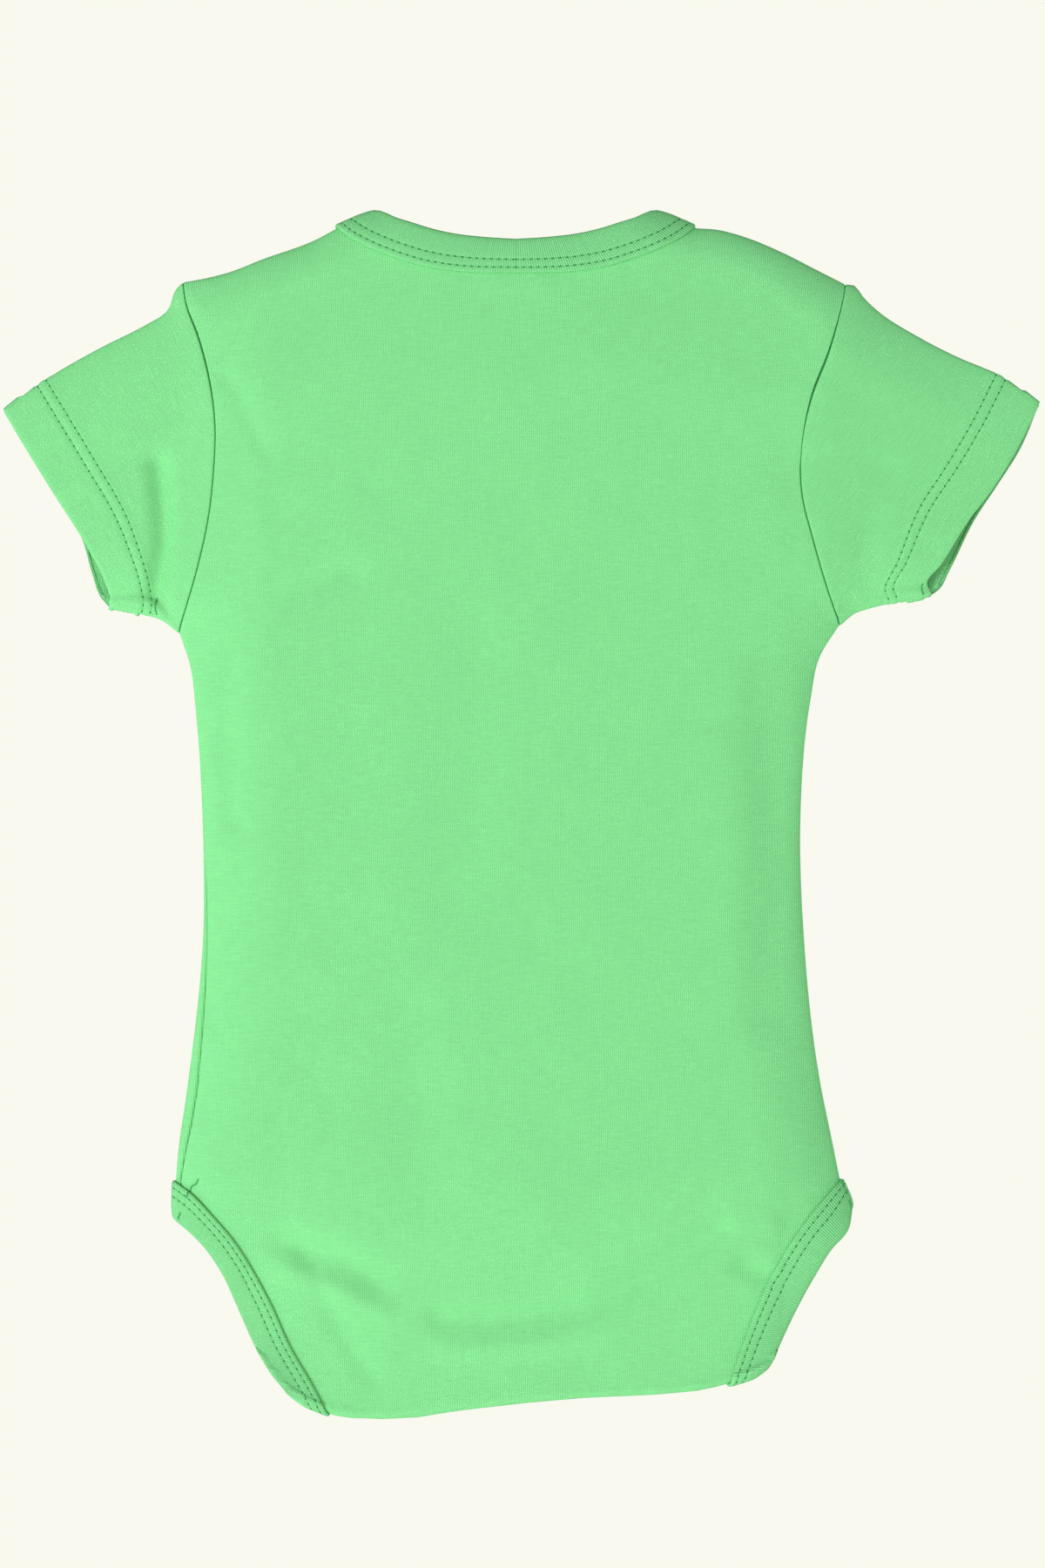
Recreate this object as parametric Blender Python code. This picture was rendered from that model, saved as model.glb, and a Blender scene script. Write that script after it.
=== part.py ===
"""Infant's short-sleeved bodysuit in plain knitted cotton, hung up with its back facing -Y.

The cloth is two layers, front and back, either side of the plane Y = 0. They close at the shoulders,
the sleeves' folds, the underarms and the sides, and are open at the neck, the sleeve hems and the legs.
The back runs on under the crotch as a flap, which laps over the front's tab and is held by press studs.
Outlines are (x, z) points in millimetres for the half at +X, and the half at -X mirrors them.
The wearer's left is at -X. The origin is where a hanger carries the shoulders, level with the neck corners.
"""

import math

import bmesh
import bpy
from mathutils import Matrix, Vector
from mathutils.geometry import intersect_point_line

MM = 0.001

# Cloth
CLOTH = 1.0
BINDING = 1.4
TAPE = 0.6
GAP = 0.4
BINDING_WIDTH = 9.5

# Outline of the hung garment
NECK_CORNER = (61.5, -0.4)
SHOULDER_END = (114.6, -20.0)
ARMPIT = (113.9, -138.0)
HIP = (114.2, -328.0)
SHOULDER = [NECK_CORNER, (82.0, -6.6), (99.0, -13.6), SHOULDER_END]
ARMHOLE = [SHOULDER_END, (108.5, -40.0), (100.6, -74.0), (104.0, -105.0), ARMPIT]
SIDE = [ARMPIT, (107.2, -153.0), (103.0, -205.0), (105.0, -256.0), HIP]
SLEEVE_TIP = (178.5, -62.3)
HEM_CORNER = (141.0, -126.0)
HEM_BOW = 1.5
SLEEVE_TOP = [SHOULDER_END, (119.4, -24.5), (124.5, -30.5), SLEEVE_TIP]
SLEEVE_UNDER = [ARMPIT, (119.0, -134.2), (124.5, -132.2), HEM_CORNER]

# Neck
BACK_NECK_DROP = 15.5
FRONT_NECK_DROP = 46.0
NECK_HALF_WIDTH = 61.0
NECK_TOP_SCALE = 0.79
NECK_TOP_RISE = 5.0

# Depth of the layers on each side of Y = 0
SEAM_DEPTH = 0.9
BODY_DEPTH = 12.0
SLEEVE_DEPTH = 5.5
ROUNDING = 35.0
ROUND_POWER = 2.2

# Crotch
FOLD_Z = -404.0
FOLD_CLEARANCE = 1.8
FOLD_DEPTH = 1.8
FOLD_SLANT = 0.075
SLANT_FROM = -358.0
SLANT_FULL = -400.0
BACK_TAPER_FROM = -325.0
FLAP_CORNER = (70.0, FOLD_Z + FOLD_CLEARANCE)
BACK_LEG = [HIP, (108.0, -333.5), (94.0, -351.5), (82.0, -374.0), (74.0, -394.0), FLAP_CORNER]
TAB_DEPTH = 5.6
TAB_TAPER_FROM = -295.0
TAB_TAPER_TO = -343.0
TAB_END = -362.0
FRONT_LEG = [HIP, (97.0, -333.0), (76.0, -340.5), (57.0, -350.0), (46.0, TAB_END)]
FLAP_DEPTH = 10.7
FLAP_FULL_FROM = -368.0
FLAP_END = -342.0
FLAP_EDGE = [FLAP_CORNER, (60.0, -388.0), (50.0, -368.0), (46.0, FLAP_END)]

# Press studs
STUD_Z = -352.0
STUD_SPACING = 30.0
RING_RADIUS = 4.75
RING_HOLE = 2.7
DISC_RADIUS = 4.5
SOCKET_HOLE = 2.4
POST_RADIUS = 1.9
TURNED_SIDES = 16

# Sleeve joints
SLEEVE_AXIS_X = 124.0
SLEEVE_GAP_IN = 6.4
SLEEVE_GAP_OUT = 0.6

COLUMNS = (0.0, 0.1, 0.2, 0.3, 0.39, 0.47, 0.53, 0.62, 0.72, 0.82, 0.9, 0.96, 1.0)
AROUND = (0.0, 0.012, 0.04, 0.09, 0.17, 0.3, 0.5)


def srgb(red, green, blue):
    """A colour in 0 to 255 as Blender's linear RGBA."""
    return tuple(((c / 255 + 0.055) / 1.055) ** 2.4 for c in (red, green, blue)) + (1.0,)


GREEN = srgb(136, 228, 151)
RIB_GREEN = srgb(128, 214, 143)
TAPE_WHITE = srgb(236, 238, 230)
LABEL_WHITE = srgb(244, 244, 240)
STUD_METAL = srgb(205, 207, 205)


# ---------------------------------------------------------------- outlines

def lerp(a, b, t):
    return a + (b - a) * t


def smoothstep(low, high, value):
    t = min(max((value - low) / (high - low), 0.0), 1.0)
    return t * t * (3 - 2 * t)


def curve(points, count):
    """count points, evenly spread by knot distance, on the Catmull-Rom curve through the points."""
    knots = [Vector(p) for p in points]
    knots = [2 * knots[0] - knots[1], *knots, 2 * knots[-1] - knots[-2]]
    lengths = [(knots[i + 1] - knots[i]).length for i in range(1, len(knots) - 2)]
    total = sum(lengths)
    found = []
    for n in range(count):
        left = total * n / (count - 1)
        i = 0
        while i < len(lengths) - 1 and left > lengths[i]:
            left -= lengths[i]
            i += 1
        t = min(left / lengths[i], 1.0)
        a, b, c, d = knots[i : i + 4]
        found.append(0.5 * (2 * b + (c - a) * t + (2 * a - 5 * b + 4 * c - d) * t**2
                            + (3 * b - a - 3 * c + d) * t**3))
    return found


def distance(point, path):
    """Distance in the outline's plane from a point to a line of points."""
    best = math.inf
    for a, b in zip(path, path[1:]):
        near, t = intersect_point_line(point, a, b)
        near = lerp(Vector(a), Vector(b), min(max(t, 0.0), 1.0))
        best = min(best, (Vector(point) - near.to_2d()).length)
    return best


CLOSED_TOP = [*curve(SHOULDER, 8), *curve(SLEEVE_TOP, 6)[1:]]
CLOSED_SIDE = [*curve(SLEEVE_UNDER, 6)[::-1], *curve(SIDE, 12)[1:]]


def rounded(distance_in):
    """How far the cloth has risen from a closed edge to its full depth, from 0 to 1."""
    short = 1 - min(distance_in / ROUNDING, 1.0)
    return (1 - short**ROUND_POWER) ** (1 / ROUND_POWER)


def cloth_depth(x, z, full):
    """Outer face's distance from the plane Y = 0, where it would be full away from closed edges."""
    point = (abs(x), z)
    near = min(distance(point, CLOSED_TOP), distance(point, CLOSED_SIDE))
    full *= lerp(1.0, SLEEVE_DEPTH / BODY_DEPTH, smoothstep(80, 118, abs(x)) * (z > -160))
    return lerp(SEAM_DEPTH, max(full, SEAM_DEPTH), rounded(near))


def back_depth(x, z):
    return cloth_depth(x, z, lerp(FOLD_DEPTH, BODY_DEPTH, smoothstep(FOLD_Z, BACK_TAPER_FROM, z)))


def front_depth(x, z):
    return cloth_depth(x, z, lerp(TAB_DEPTH, BODY_DEPTH, smoothstep(TAB_TAPER_TO, TAB_TAPER_FROM, z)))


def flap_depth(x, z):
    return lerp(FOLD_DEPTH, FLAP_DEPTH, math.sin(math.pi / 2 * smoothstep(FOLD_Z - 12, FLAP_FULL_FROM, z)))


def neck_line(drop, x):
    """Height of the neck's edge, where a binding is sewn on, at a distance x from the middle."""
    return NECK_CORNER[1] - drop * (1 - (x / NECK_HALF_WIDTH) ** 2)


# ---------------------------------------------------------------- making objects

def paint(obj, colour, roughness, metallic=0.0):
    material = bpy.data.materials.new(obj.name)
    material.use_nodes = True
    shader = material.node_tree.nodes["Principled BSDF"]
    shader.inputs["Base Color"].default_value = colour
    shader.inputs["Roughness"].default_value = roughness
    shader.inputs["Metallic"].default_value = metallic
    obj.data.materials.append(material)


def hang_askew(shape):
    """The crotch hangs askew: its fold is lower towards the wearer's left, and the studs stay level."""
    for vert in shape.verts:
        vert.co.z += FOLD_SLANT * vert.co.x * (1 - smoothstep(SLANT_FULL, SLANT_FROM, vert.co.z))


def finished(name, shape):
    """A smooth-shaded object in the scene, made from a bmesh in millimetres."""
    hang_askew(shape)
    shape.transform(Matrix.Scale(MM, 4))
    mesh = bpy.data.meshes.new(name)
    shape.to_mesh(mesh)
    shape.free()
    mesh.shade_smooth()
    mesh.set_sharp_from_angle(angle=math.radians(40))
    obj = bpy.data.objects.new(name, mesh)
    bpy.context.scene.collection.objects.link(obj)
    return obj


def cloth(name, rows, thickness, colour, ring=False):
    """Rows of points on the outer face, thickened towards the plane Y = 0. A ring joins each row's ends."""
    shape = bmesh.new()
    grid = [[shape.verts.new(point) for point in row] for row in rows]
    for upper, lower in zip(grid, grid[1:]):
        across = list(range(len(upper)))
        for i, j in zip(across, across[1:] + across[:1] if ring else across[1:]):
            shape.faces.new((upper[i], upper[j], lower[j], lower[i]))
    shape.normal_update()
    facing = sum(f.normal.y * f.calc_center_median().y * f.calc_area() for f in shape.faces)
    if facing < 0:
        bmesh.ops.reverse_faces(shape, faces=shape.faces)
    obj = finished(name, shape)
    solidify = obj.modifiers.new("thickness", "SOLIDIFY")
    solidify.thickness = thickness * MM
    solidify.offset = -1
    solidify.use_even_offset = True
    paint(obj, colour, 0.95)
    return obj


def extruded(name, outline, low_x, high_x, colour):
    """A (y, z) outline drawn out along X."""
    shape = bmesh.new()
    face = shape.faces.new([shape.verts.new((low_x, y, z)) for y, z in outline])
    grown = bmesh.ops.extrude_face_region(shape, geom=[face])["geom"]
    moved = [v for v in grown if isinstance(v, bmesh.types.BMVert)]
    bmesh.ops.translate(shape, verts=moved, vec=(high_x - low_x, 0, 0))
    bmesh.ops.recalc_face_normals(shape, faces=shape.faces)
    obj = finished(name, shape)
    paint(obj, colour, 0.9)
    return obj


def turned(name, profile, x):
    """A closed (radius, y) profile turned round the line along Y through a press stud's centre."""
    shape = bmesh.new()
    rings = []
    for radius, y in profile:
        count = TURNED_SIDES if radius > 0 else 1
        turns = [2 * math.pi * n / TURNED_SIDES for n in range(count)]
        rings.append([shape.verts.new((x + radius * math.cos(a), y, STUD_Z + radius * math.sin(a)))
                      for a in turns])
    for first, second in zip(rings, rings[1:] + rings[:1]):
        for n in range(TURNED_SIDES):
            m = (n + 1) % TURNED_SIDES
            corners = [first[n % len(first)], first[m % len(first)],
                       second[m % len(second)], second[n % len(second)]]
            corners = list(dict.fromkeys(corners))
            if len(corners) > 2:
                shape.faces.new(corners)
    bmesh.ops.recalc_face_normals(shape, faces=shape.faces)
    obj = finished(name, shape)
    paint(obj, STUD_METAL, 0.3, 1.0)
    return obj


def axis_empty(name, location, slant=0.0):
    empty = bpy.data.objects.new(name, None)
    empty.location = [c * MM for c in location]
    empty.rotation_euler = (0, -math.atan(slant), 0)
    bpy.context.scene.collection.objects.link(empty)
    return empty


def hang_on(empty, pieces):
    """The pieces turn with the empty, which sits on their joint's axis."""
    bpy.context.view_layer.update()
    for piece in pieces:
        piece.parent = empty
        piece.matrix_parent_inverse = empty.matrix_world.inverted()


# ---------------------------------------------------------------- panels

def mirrored(half):
    return [-u for u in half[:0:-1]] + list(half)


def panel_rows(side, edge, depth, neck_drop=None, level_from=0):
    """Rows of outer-face points between the -X and +X edges. The first rows follow the neck and shoulders
    and go level at row number level_from."""
    top_x, top_z = edge[0]
    rows = []
    for n, (edge_x, edge_z) in enumerate(edge):
        row = []
        for u in mirrored(COLUMNS):
            z = edge_z
            if n < level_from:
                eased = 1 - (top_z - edge_z) / (top_z - edge[level_from][1])
                z += eased * (top_line(neck_drop, abs(u) * top_x) - top_z)
            row.append((u * edge_x, side * depth(u * edge_x, z), z))
        rows.append(row)
    return rows


def top_line(neck_drop, x):
    """Height of a panel's top edge: the neck, then the shoulder."""
    if x < NECK_CORNER[0]:
        return neck_line(neck_drop, x) - GAP
    for a, b in zip(CLOSED_TOP, CLOSED_TOP[1:]):
        if x <= b[0]:
            return lerp(a[1], b[1], (x - a[0]) / (b[0] - a[0]))
    return CLOSED_TOP[-1][1]


def body_edge(leg):
    """A panel's edge points from the shoulder's end, down the armhole and side, and along the leg."""
    armhole = curve(ARMHOLE, 10)
    close = [lerp(armhole[0], armhole[1], t) for t in (0, 0.18, 0.5)]
    return [*close, *armhole[1:], *curve(SIDE, 7)[1:], *curve(leg, 8)[1:]]


def make_panels():
    level_from = 7
    back = panel_rows(-1, body_edge(BACK_LEG), back_depth, BACK_NECK_DROP, level_from)
    cloth("back_panel", back, CLOTH, GREEN)
    front = panel_rows(1, body_edge(FRONT_LEG), front_depth, FRONT_NECK_DROP, level_from)
    cloth("front_panel", front, CLOTH, GREEN)
    flap = panel_rows(1, curve(FLAP_EDGE, 9), flap_depth)
    return cloth("crotch_flap", flap, CLOTH, GREEN)


# ---------------------------------------------------------------- sleeves

def sleeve_ring(inner, outer, t, sign):
    """A flattened ring of points: down the back layer and up the front one."""
    line = [lerp(a, b, t) for a, b in zip(inner, outer)]
    height = (line[0] - line[-1]).length
    fractions = [*AROUND, *(1 - v for v in AROUND[-2::-1])]
    ring = []
    for layer, order in ((-1, range(len(line))), (1, range(len(line) - 2, 0, -1))):
        for n in order:
            x, z = line[n]
            full = lerp(BODY_DEPTH, SLEEVE_DEPTH, smoothstep(80, 118, x))
            deep = full * rounded(min(fractions[n], 1 - fractions[n]) * height)
            ring.append((sign * x, layer * deep, z))
    return ring


def fractions_of(points):
    """The curve's points at the sleeve ring's places, from its top to its bottom."""
    fine = curve(points, 201)
    places = [*AROUND, *(1 - v for v in AROUND[-2::-1])]
    return [fine[round(place * 200)] for place in places]


def at_x(path, x):
    """The point of a line of points at a given x."""
    for a, b in zip(path, path[1:]):
        if a[0] <= x <= b[0]:
            return lerp(Vector(a), Vector(b), (x - a[0]) / (b[0] - a[0]))
    raise ValueError("the line doesn't reach that x")


def make_sleeve(side_name, sign):
    """The sleeve's head, fixed to the body, and the sleeve past its fold, which turns."""
    grow = Vector((GAP, 0))
    armhole = [p + grow for p in fractions_of(ARMHOLE)]
    head_end = SLEEVE_AXIS_X - SLEEVE_GAP_IN
    start = SLEEVE_AXIS_X + SLEEVE_GAP_OUT
    head_line = fractions_of([at_x(SLEEVE_TOP, head_end), at_x(SLEEVE_UNDER, head_end)])
    start_line = fractions_of([at_x(SLEEVE_TOP, start), at_x(SLEEVE_UNDER, start)])
    middle = (Vector(SLEEVE_TIP) + Vector(HEM_CORNER)) / 2 - Vector((HEM_BOW, 0))
    hem_line = fractions_of([SLEEVE_TIP, middle, HEM_CORNER])
    head = [sleeve_ring(armhole, head_line, n / 2, sign) for n in range(3)]
    cloth(side_name + "_sleeve_head", head, CLOTH, GREEN, ring=True)
    outer = [sleeve_ring(start_line, hem_line, n / 5, sign) for n in range(6)]
    sleeve = cloth(side_name + "_sleeve", outer, CLOTH, GREEN, ring=True)
    axis_z = (start_line[0][1] + start_line[-1][1]) / 2
    axis = axis_empty(side_name + "_sleeve_axis", (sign * SLEEVE_AXIS_X, 0, axis_z))
    hang_on(axis, [sleeve])


# ---------------------------------------------------------------- bindings

def make_neck_binding():
    """A ribbed band round the neck: from its sewn edge it stands up and leans in."""
    stations = [u * SHOULDER_END[0] for u in COLUMNS if u * SHOULDER_END[0] < NECK_HALF_WIDTH]
    sewn, rim = [], []
    for side, drop, depth, order in ((-1, BACK_NECK_DROP, back_depth, stations),
                                     (1, FRONT_NECK_DROP, front_depth, stations[::-1])):
        for x in order:
            z = neck_line(drop, x) + GAP
            y = side * max(depth(x, z), 3.0)
            share = x / NECK_HALF_WIDTH
            lean = lerp(1.0, NECK_TOP_SCALE, share**2)
            lift = lerp(BINDING_WIDTH, NECK_TOP_RISE, share**2)
            sewn.append((x, y, z))
            rim.append((x * lean, y * 0.92, z + lift))
        if side < 0:
            sewn.append((NECK_HALF_WIDTH + 0.6, 0.0, NECK_CORNER[1] + 0.8))
            rim.append((NECK_HALF_WIDTH * NECK_TOP_SCALE + 0.6, 0.0, NECK_CORNER[1] + 0.8 + NECK_TOP_RISE))
    rows = []
    for half in (sewn, rim):
        other = [(-x, y, z) for x, y, z in half[-2:0:-1]]
        rows.append(half + other)
    cloth("neck_binding", rows, BINDING, RIB_GREEN, ring=True)


def binding_rows(path, side, depth, sign, lowest):
    """The band outside a leg's edge: its sewn edge and its outer edge, as points on the cloth's face."""
    rows = ([], [])
    for n, point in enumerate(path):
        ahead = path[min(n + 1, len(path) - 1)] - path[max(n - 1, 0)]
        out = Vector((-ahead[1], ahead[0])).normalized()
        if out.x < 0:
            out = -out
        for row, far in zip(rows, (GAP, BINDING_WIDTH)):
            x, z = point + out * far
            z = max(z, lowest)
            row.append((sign * x, side * max(depth(x, z), FOLD_DEPTH), z))
    return rows


def make_leg_bindings(side_name, sign):
    """Bands on the back's leg edge, on the flap's edge that carries it on, and on the front's leg edge."""
    lowest = FOLD_Z + FOLD_CLEARANCE
    back_path = curve(BACK_LEG, 16)[1:]
    back = binding_rows(back_path, -1, back_depth, sign, lowest)
    cloth(f"back_leg_binding_{side_name}", back, BINDING, RIB_GREEN)
    front_path = curve(FRONT_LEG, 14)[1:]
    front = binding_rows(front_path, 1, front_depth, sign, TAB_END)
    cloth(f"front_leg_binding_{side_name}", front, BINDING, RIB_GREEN)
    flap = binding_rows(curve(FLAP_EDGE, 9), 1, flap_depth, sign, lowest)
    return cloth(f"flap_binding_{side_name}", flap, BINDING, RIB_GREEN)


# ---------------------------------------------------------------- tapes, labels and press studs

def flat_outline(y, thick, z_low, z_high):
    return [(y, z_low), (y + thick, z_low), (y + thick, z_high), (y, z_high)]


def make_tapes():
    """White tape that backs the press studs on the front's tab and on the flap."""
    half = FRONT_LEG[-1][0] - 2
    tapes = []
    for name, depth in (("front_snap_tape", TAB_DEPTH), ("flap_snap_tape", FLAP_DEPTH)):
        outline = flat_outline(depth - CLOTH - GAP - TAPE, TAPE, TAB_END + 1, FLAP_END - 2)
        tapes.append(extruded(name, outline, -half, half, TAPE_WHITE))
    return tapes[1]


def make_labels():
    """Blank woven labels: a folded one inside the back neck and one beside the left side seam."""
    y, leaf = -BODY_DEPTH + CLOTH + 0.5, 0.35
    top = neck_line(BACK_NECK_DROP, 0) - 1.5
    low = top - 13
    hairpin = [(y, top), (y + leaf, top), (y + leaf, low + 0.7), (y + 2 * leaf, low + 0.7),
               (y + 2 * leaf, top), (y + 3 * leaf, top), (y + 3 * leaf, low), (y, low)]
    extruded("neck_label", hairpin, -13.5, 13.5, LABEL_WHITE)
    front = BODY_DEPTH - CLOTH - 1.2
    extruded("care_label", flat_outline(front, 0.5, -290, -245), -70, -44, LABEL_WHITE)


def ring_profile(base, top, hole, radius):
    """A flat ring from base to top, whose rims are eased at the top."""
    ease = math.copysign(0.35, top - base)
    return [(hole, base), (radius, base), (radius, top - ease), (radius - abs(ease), top),
            (hole + abs(ease), top), (hole, top - ease)]


def make_press_stud(name, x):
    """One press stud: a ring and a socket on the flap, and a stud and a ring on the front's tab."""
    tab_inside = TAB_DEPTH - CLOTH - TAPE - 2 * GAP
    turned(f"{name}_tab_ring", ring_profile(tab_inside, tab_inside - 0.9, RING_HOLE, RING_RADIUS), x)
    foot, tip = TAB_DEPTH + 0.3, FLAP_DEPTH - 2.5
    stud = [(0, foot), (DISC_RADIUS, foot), (DISC_RADIUS, foot + 0.7), (POST_RADIUS, foot + 0.7),
            (POST_RADIUS, tip - 0.5), (POST_RADIUS - 0.6, tip), (0, tip)]
    turned(f"{name}_stud", stud, x)
    socket_top = FLAP_DEPTH - CLOTH - TAPE - 2 * GAP
    socket = turned(f"{name}_socket", ring_profile(foot + 1.0, socket_top, SOCKET_HOLE, DISC_RADIUS), x)
    cap_profile = ring_profile(FLAP_DEPTH + 0.3, FLAP_DEPTH + 1.2, RING_HOLE, RING_RADIUS)
    return [socket, turned(f"{name}_cap_ring", cap_profile, x)]


def main():
    for old in list(bpy.data.objects):
        bpy.data.objects.remove(old)
    on_flap = [make_panels()]
    for side_name, sign in (("left", -1), ("right", 1)):
        make_sleeve(side_name, sign)
        on_flap.append(make_leg_bindings(side_name, sign))
    make_neck_binding()
    on_flap.append(make_tapes())
    make_labels()
    for name, x in (("left", -STUD_SPACING), ("middle", 0.0), ("right", STUD_SPACING)):
        on_flap.extend(make_press_stud(name, x))
    hang_on(axis_empty("crotch_fold_axis", (0, 0, FOLD_Z), FOLD_SLANT), on_flap)


main()
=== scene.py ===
"""Looks of the infant's bodysuit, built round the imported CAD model.

The hung garment is two layers of cloth, back (y < 0) and front (y > 0), which meet at the shoulders, the
sleeves' folds and the sides. Every piece is first laid out flat as (x, z) millimetres and then put on its
layer: point_on() gives the layer's outer face and its outward direction anywhere inside the outline. The
back goes on round the crotch fold as the flap, where its z runs on below the fold and turns up at the front.
"""
import math

import bmesh
import bpy
import numpy as np
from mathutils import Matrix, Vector
from mathutils.bvhtree import BVHTree


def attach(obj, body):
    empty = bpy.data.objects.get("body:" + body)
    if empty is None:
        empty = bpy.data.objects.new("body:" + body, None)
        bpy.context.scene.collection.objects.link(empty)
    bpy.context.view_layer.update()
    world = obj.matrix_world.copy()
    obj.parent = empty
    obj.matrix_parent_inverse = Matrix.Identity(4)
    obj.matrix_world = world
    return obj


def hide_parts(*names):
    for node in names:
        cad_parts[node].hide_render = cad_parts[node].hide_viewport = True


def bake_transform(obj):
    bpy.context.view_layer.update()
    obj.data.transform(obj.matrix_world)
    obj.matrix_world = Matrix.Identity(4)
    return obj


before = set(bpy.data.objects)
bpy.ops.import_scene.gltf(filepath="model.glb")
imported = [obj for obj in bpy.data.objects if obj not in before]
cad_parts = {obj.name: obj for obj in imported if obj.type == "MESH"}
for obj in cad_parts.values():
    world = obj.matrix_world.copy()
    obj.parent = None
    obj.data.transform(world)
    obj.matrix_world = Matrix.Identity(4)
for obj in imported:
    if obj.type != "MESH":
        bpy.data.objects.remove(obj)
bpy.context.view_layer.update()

MM = 0.001
TINY = 1e-9
BACK, FRONT = -1, 1
LEFT, RIGHT = -1, 1

# ---- outline of the hung garment, in mm

NECK_CORNER = (61.5, 0.0)
NECK_RIM_CORNER = (48.7, 5.5)
SHOULDER = {
    LEFT: [(-61.5, 0), (-68, -3.6), (-88, -11), (-98, -15), (-106, -17.1), (-114.6, -18.7)],
    RIGHT: [(61.5, 0), (70, -0.6), (77, -2.4), (92, -8.4), (103, -14), (113.6, -19.4)],
}
SLEEVE_TOP = {
    LEFT: [(-114.6, -18.7), (-116.7, -20.7), (-120, -28.6), (-127, -33.1), (-143, -41.2), (-161, -51.6),
           (-176.2, -63.2)],
    RIGHT: [(113.6, -19.4), (116, -19.4), (120, -24), (124.5, -28.3), (138, -37), (153, -44.7), (165, -49.8),
            (180.4, -60.8)],
}
SLEEVE_UNDER = {
    LEFT: [(-116.1, -139.5), (-121.5, -135.3), (-127, -133.2), (-134, -132), (-140.1, -130.5)],
    RIGHT: [(111.8, -136.9), (117, -132.7), (122, -131.0), (133.5, -128.4), (143.4, -126.3)],
}
SIDE = {
    LEFT: [(-116.1, -139.5), (-112.4, -151), (-110.7, -165), (-107.9, -206), (-107.5, -240),
           (-113.1, -296.4), (-116.2, -318), (-117, -328.2)],
    RIGHT: [(111.8, -136.9), (105, -148), (102, -162), (98.2, -206), (99.4, -245), (105.3, -296),
            (108.8, -313), (111.8, -327.9)],
}
HIP_TIP = {LEFT: (-117.3, -341.1), RIGHT: (115.8, -336.9)}
ARMHOLE = {
    LEFT: [(-114.6, -18.7), (-113.2, -27), (-109.4, -37), (-105, -53.4), (-103.1, -68), (-103.5, -83),
           (-105.3, -99.6), (-109.2, -117.3), (-116.1, -139.5)],
    RIGHT: [(113.6, -19.4), (111.8, -28), (107.6, -43), (101, -60.6), (97.7, -78.6), (98, -91), (102, -108),
            (107.1, -124.8), (111.8, -136.9)],
}
# How far each side seam lies inside the outline: on the back at the left, on the front at the right.
SEAM_SHIFT_Z = [-336, -328, -310, -296, -250, -215, -150]
SEAM_SHIFT = {LEFT: [1.6, 1.6, 3.4, 3.6, 1.6, 0.35, 0], RIGHT: [0.8, 0.9, 2.2, 2.4, 1.4, 0.4, 0]}

SLEEVE_HEM = {
    (LEFT, BACK): [(-176.2, -63.2), (-168, -76.6), (-159.6, -90.2), (-147, -110.3), (-141, -122.4),
                   (-139.6, -127.4), (-140.1, -130.5)],
    (LEFT, FRONT): [(-176.2, -63.2), (-167.6, -76.9), (-159.4, -90.6), (-149.6, -107.5), (-146.4, -118.4),
                    (-143.1, -127.0), (-140.1, -130.5)],
    (RIGHT, BACK): [(180.4, -60.8), (172.2, -77.0), (162.9, -91.6), (155.4, -101.4), (146.6, -115.6),
                    (141.6, -123.0), (143.4, -126.3)],
    (RIGHT, FRONT): [(180.4, -60.8), (174.4, -75.4), (166.2, -88.6), (158.9, -99.7), (149.9, -117.6),
                     (146.0, -124.4), (143.4, -126.3)],
}
HEM_ROWS = (14.6, 18.2)
UNDERARM_SEAM = {
    LEFT: [(-140, -127.0), (-131.5, -126.2), (-123.6, -128.0), (-119.4, -133), (-116.4, -138.6)],
    RIGHT: [(143, -124.6), (136.5, -123.4), (127.5, -125.4), (119, -130.6), (113, -135.8)],
}
TACKS = {
    "left_sleeve_tack": [(-123.5, -127.4), (-124.0, -130.6), (-123.4, -133.1)],
    "right_sleeve_tack": [(139.9, -122.6), (139.6, -124.4), (140.2, -126.0)],
    "left_hip_tack": [(-108.9, -326.9), (-109.6, -328.6), (-111.0, -329.4), (-112.2, -333.0),
                      (-114.0, -337.4), (-115.4, -340.9)],
    "right_hip_tack": [(111.2, -327.6), (112.4, -331.2), (114.2, -335.6), (115.2, -338.2)],
}

# Bands: the free edge, which lies on the cloth, and the rim, which is the fold at the garment's opening
NECK_FREE = {
    BACK: [(0, -16.2), (14, -16), (24, -15.1), (33, -13.4), (40, -11.2), (47, -8.6), (52, -6.4), (57, -3.6),
           NECK_CORNER],
    FRONT: [(0, -46.2), (10, -45.8), (24, -42.8), (38.5, -36), (49.5, -26), (56.5, -15), (60.3, -6),
            NECK_CORNER],
}
NECK_RIM = {
    BACK: [(0, -4.8), (12, -4.0), (20.5, -3.0), (29.5, -1.0), (35.5, 0.9), (41.3, 2.8), (45.2, 4.7),
           (47.6, 5.6), NECK_RIM_CORNER],
    FRONT: [(0, -34.6), (8.5, -34.2), (20.5, -31.4), (32.5, -25.4), (41, -16.5), (46.3, -7), (48.6, 0.5),
            NECK_RIM_CORNER],
}
LEG_FREE = {
    LEFT: [(-117, -328.2), (-111.5, -331.9), (-104.1, -339.3), (-98.1, -346.2), (-91.2, -356.7),
           (-84.3, -369.6), (-77.4, -385.2), (-70.5, -397.2), (-64.6, -408.6)],
    RIGHT: [(111.8, -327.9), (105.6, -334.2), (97.2, -344.7), (89.4, -357.6), (83.4, -370.5), (78.9, -382.5),
            (76.3, -390.3), (73.9, -398.2)],
}
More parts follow.
